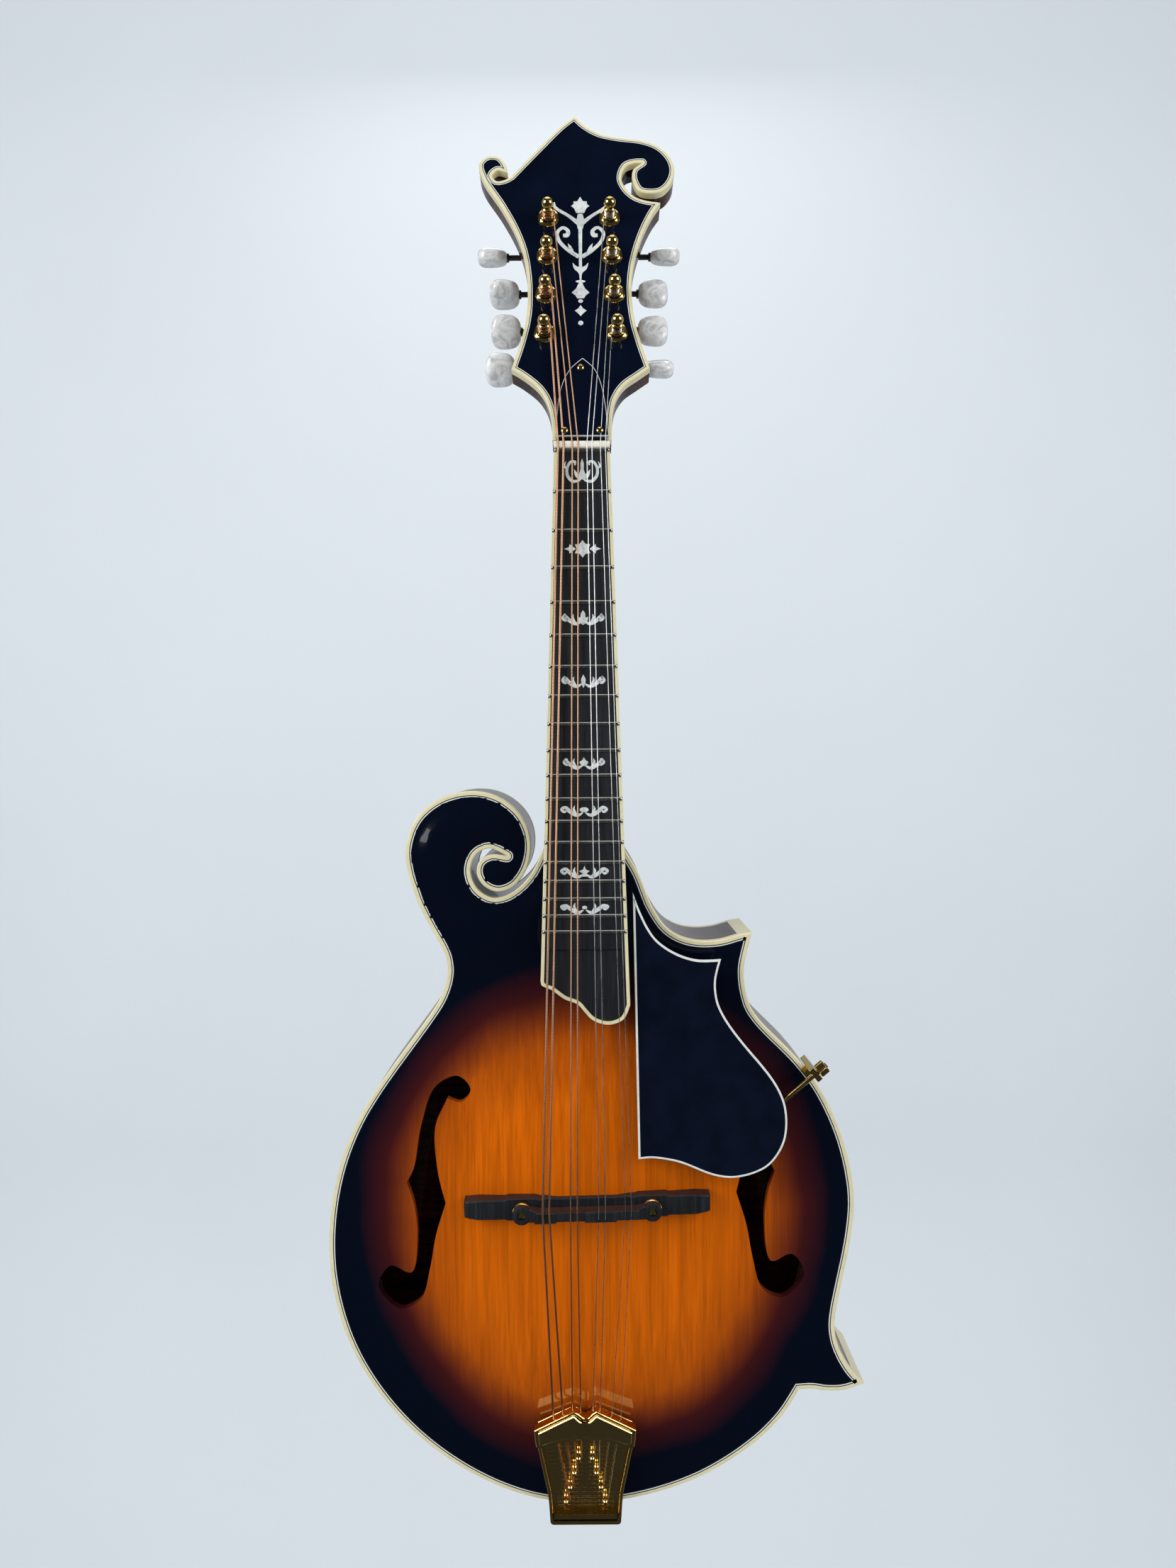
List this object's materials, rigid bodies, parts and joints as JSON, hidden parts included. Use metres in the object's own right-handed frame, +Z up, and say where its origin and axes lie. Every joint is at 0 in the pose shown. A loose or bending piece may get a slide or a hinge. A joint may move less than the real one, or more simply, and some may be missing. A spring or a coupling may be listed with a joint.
{
  "type": "mandolin",
  "caption": "Scroll-bodied two-point mandolin with carved plates, f-shaped sound holes, worm-geared tuners, thumbwheel bridge and cast tailpiece.",
  "frame": {"origin": "on the centreline at the zero fret, in the plane of the front edge of the body, where a hanger yoke closes round the neck just below the headstock", "axes": "+X to the treble side, +Z up the neck to the headstock, -Y out of the front"},
  "size_m": [0.2602, 0.0882, 0.7023],
  "materials": {
    "sunburst_spruce": "gloss lacquer over carved spruce, amber in the middle shading to near black at the edge",
    "dark_lacquer": "gloss lacquer over figured maple, very dark brown shading to black",
    "black_lacquer": "gloss black lacquer",
    "bare_spruce": "unfinished spruce",
    "bare_maple": "unfinished maple",
    "ivoroid": "polished cream binding",
    "ebony": "oiled satin ebony",
    "bone": "polished bone",
    "gold_plate": "polished gold plating",
    "brass": "machined brass",
    "steel": "plain steel wire and rod",
    "bronze": "bronze winding over a steel core",
    "pearloid": "pearloid buttons on dark shafts",
    "pickguard_plastic": "gloss black sheet with a white edge"
  },
  "bodies": {
    "instrument": {"top_plate": "sunburst_spruce", "back_plate": "dark_lacquer", "rim": "dark_lacquer", "top_binding": "ivoroid", "back_binding": "ivoroid", "top_lining": "bare_spruce", "back_lining": "bare_spruce", "neck_block": "bare_maple", "tail_block": "bare_maple", "point_block_upper": "bare_maple", "point_block_lower": "bare_maple", "tone_bar_bass": "bare_spruce", "tone_bar_treble": "bare_spruce", "neck": "dark_lacquer", "heel_cap": "ivoroid", "truss_rod": "steel", "headstock_overlay": "black_lacquer", "headstock_binding": "ivoroid", "truss_rod_cover": "black_lacquer", "nut": "bone", "fretboard": "ebony", "fretboard_binding": "ivoroid", "bridge_base": "ebony", "bridge_post_bass": "brass", "bridge_post_treble": "brass", "tailpiece": "gold_plate", "strap_button": "gold_plate", "pickguard": "pickguard_plastic", "pickguard_bracket": "gold_plate", "tuner_plate_bass": "gold_plate", "tuner_plate_treble": "gold_plate", "string_1": "bronze", "string_2": "bronze", "string_3": "bronze", "string_4": "bronze", "string_5": "steel", "string_6": "steel", "string_7": "steel", "string_8": "steel"},
    "saddle": {"bridge_saddle": "ebony"},
    "thumbwheel_bass": {"thumbwheel_bass": "brass"},
    "thumbwheel_treble": {"thumbwheel_treble": "brass"},
    "truss_rod_nut": {"truss_rod_nut": "brass"},
    "pickguard_clamp_nut": {"pickguard_clamp_nut": "gold_plate"},
    "tuner_knob_bass_1": {"tuner_knob_bass_1": "pearloid"},
    "tuner_post_bass_1": {"tuner_post_bass_1": "gold_plate"},
    "tuner_knob_bass_2": {"tuner_knob_bass_2": "pearloid"},
    "tuner_post_bass_2": {"tuner_post_bass_2": "gold_plate"},
    "tuner_knob_bass_3": {"tuner_knob_bass_3": "pearloid"},
    "tuner_post_bass_3": {"tuner_post_bass_3": "gold_plate"},
    "tuner_knob_bass_4": {"tuner_knob_bass_4": "pearloid"},
    "tuner_post_bass_4": {"tuner_post_bass_4": "gold_plate"},
    "tuner_knob_treble_1": {"tuner_knob_treble_1": "pearloid"},
    "tuner_post_treble_1": {"tuner_post_treble_1": "gold_plate"},
    "tuner_knob_treble_2": {"tuner_knob_treble_2": "pearloid"},
    "tuner_post_treble_2": {"tuner_post_treble_2": "gold_plate"},
    "tuner_knob_treble_3": {"tuner_knob_treble_3": "pearloid"},
    "tuner_post_treble_3": {"tuner_post_treble_3": "gold_plate"},
    "tuner_knob_treble_4": {"tuner_knob_treble_4": "pearloid"},
    "tuner_post_treble_4": {"tuner_post_treble_4": "gold_plate"}
  },
  "joints": [
    {"name": "tuner_knob_bass_1_spin", "type": "hinge", "parent": "instrument", "child": "tuner_knob_bass_1", "pos_m": [-0.0178, 0.03122, 0.04949], "axis": [-1, 0, 0], "continuous": true},
    {"name": "tuner_post_bass_1_spin", "type": "hinge", "parent": "instrument", "child": "tuner_post_bass_1", "pos_m": [-0.0178, 0.01239, 0.06053], "axis": [0, 0.972, -0.2351], "continuous": true},
    {"name": "tuner_knob_bass_2_spin", "type": "hinge", "parent": "instrument", "child": "tuner_knob_bass_2", "pos_m": [-0.01726, 0.03628, 0.07039], "axis": [-1, 0, 0], "continuous": true},
    {"name": "tuner_post_bass_2_spin", "type": "hinge", "parent": "instrument", "child": "tuner_post_bass_2", "pos_m": [-0.01726, 0.01745, 0.08142], "axis": [0, 0.972, -0.2351], "continuous": true},
    {"name": "tuner_knob_bass_3_spin", "type": "hinge", "parent": "instrument", "child": "tuner_knob_bass_3", "pos_m": [-0.01673, 0.04133, 0.09128], "axis": [-1, 0, 0], "continuous": true},
    {"name": "tuner_post_bass_3_spin", "type": "hinge", "parent": "instrument", "child": "tuner_post_bass_3", "pos_m": [-0.01673, 0.0225, 0.10232], "axis": [0, 0.972, -0.2351], "continuous": true},
    {"name": "tuner_knob_bass_4_spin", "type": "hinge", "parent": "instrument", "child": "tuner_knob_bass_4", "pos_m": [-0.01619, 0.04639, 0.11218], "axis": [-1, 0, 0], "continuous": true},
    {"name": "tuner_post_bass_4_spin", "type": "hinge", "parent": "instrument", "child": "tuner_post_bass_4", "pos_m": [-0.01619, 0.02756, 0.12322], "axis": [0, 0.972, -0.2351], "continuous": true},
    {"name": "tuner_knob_treble_1_spin", "type": "hinge", "parent": "instrument", "child": "tuner_knob_treble_1", "pos_m": [0.0173, 0.03122, 0.04949], "axis": [1, 0, 0], "continuous": true},
    {"name": "tuner_post_treble_1_spin", "type": "hinge", "parent": "instrument", "child": "tuner_post_treble_1", "pos_m": [0.0173, 0.01239, 0.06053], "axis": [0, 0.972, -0.2351], "continuous": true},
    {"name": "tuner_knob_treble_2_spin", "type": "hinge", "parent": "instrument", "child": "tuner_knob_treble_2", "pos_m": [0.01631, 0.03628, 0.07039], "axis": [1, 0, 0], "continuous": true},
    {"name": "tuner_post_treble_2_spin", "type": "hinge", "parent": "instrument", "child": "tuner_post_treble_2", "pos_m": [0.01631, 0.01745, 0.08142], "axis": [0, 0.972, -0.2351], "continuous": true},
    {"name": "tuner_knob_treble_3_spin", "type": "hinge", "parent": "instrument", "child": "tuner_knob_treble_3", "pos_m": [0.01532, 0.04133, 0.09128], "axis": [1, 0, 0], "continuous": true},
    {"name": "tuner_post_treble_3_spin", "type": "hinge", "parent": "instrument", "child": "tuner_post_treble_3", "pos_m": [0.01532, 0.0225, 0.10232], "axis": [0, 0.972, -0.2351], "continuous": true},
    {"name": "tuner_knob_treble_4_spin", "type": "hinge", "parent": "instrument", "child": "tuner_knob_treble_4", "pos_m": [0.01433, 0.04639, 0.11218], "axis": [1, 0, 0], "continuous": true},
    {"name": "tuner_post_treble_4_spin", "type": "hinge", "parent": "instrument", "child": "tuner_post_treble_4", "pos_m": [0.01433, 0.02756, 0.12322], "axis": [0, 0.972, -0.2351], "continuous": true},
    {"name": "saddle_height", "type": "slide", "parent": "instrument", "child": "saddle", "axis": [0, -1, 0], "range_m": [-0.0015, 0]},
    {"name": "thumbwheel_bass_spin", "type": "hinge", "parent": "saddle", "child": "thumbwheel_bass", "pos_m": [-0.02989, -0.02, -0.35769], "axis": [0, -1, 0], "range_deg": [-675.5, 0.5]},
    {"name": "thumbwheel_treble_spin", "type": "hinge", "parent": "saddle", "child": "thumbwheel_treble", "pos_m": [0.03069, -0.02, -0.35631], "axis": [0, -1, 0], "range_deg": [-675.5, 0.5]},
    {"name": "truss_rod_nut_turn", "type": "hinge", "parent": "instrument", "child": "truss_rod_nut", "pos_m": [0, 0.0085, 0.01077], "axis": [0, 0.0628, 0.998], "range_deg": [-180, 180]},
    {"name": "pickguard_clamp_nut_turn", "type": "hinge", "parent": "instrument", "child": "pickguard_clamp_nut", "pos_m": [0.1076, -0.0094, -0.2982], "axis": [0.769, 0, 0.6392], "range_deg": [-720, 0]}
  ],
  "couplings": [
    {"joint": "tuner_post_bass_1_spin", "follows": "tuner_knob_bass_1_spin", "ratio": -0.066667},
    {"joint": "tuner_post_bass_2_spin", "follows": "tuner_knob_bass_2_spin", "ratio": -0.066667},
    {"joint": "tuner_post_bass_3_spin", "follows": "tuner_knob_bass_3_spin", "ratio": -0.066667},
    {"joint": "tuner_post_bass_4_spin", "follows": "tuner_knob_bass_4_spin", "ratio": -0.066667},
    {"joint": "tuner_post_treble_1_spin", "follows": "tuner_knob_treble_1_spin", "ratio": 0.066667},
    {"joint": "tuner_post_treble_2_spin", "follows": "tuner_knob_treble_2_spin", "ratio": 0.066667},
    {"joint": "tuner_post_treble_3_spin", "follows": "tuner_knob_treble_3_spin", "ratio": 0.066667},
    {"joint": "tuner_post_treble_4_spin", "follows": "tuner_knob_treble_4_spin", "ratio": 0.066667},
    {"joint": "thumbwheel_bass_spin", "follows": "saddle_height", "rad_per_m": 7854},
    {"joint": "thumbwheel_treble_spin", "follows": "saddle_height", "rad_per_m": 7854}
  ]
}
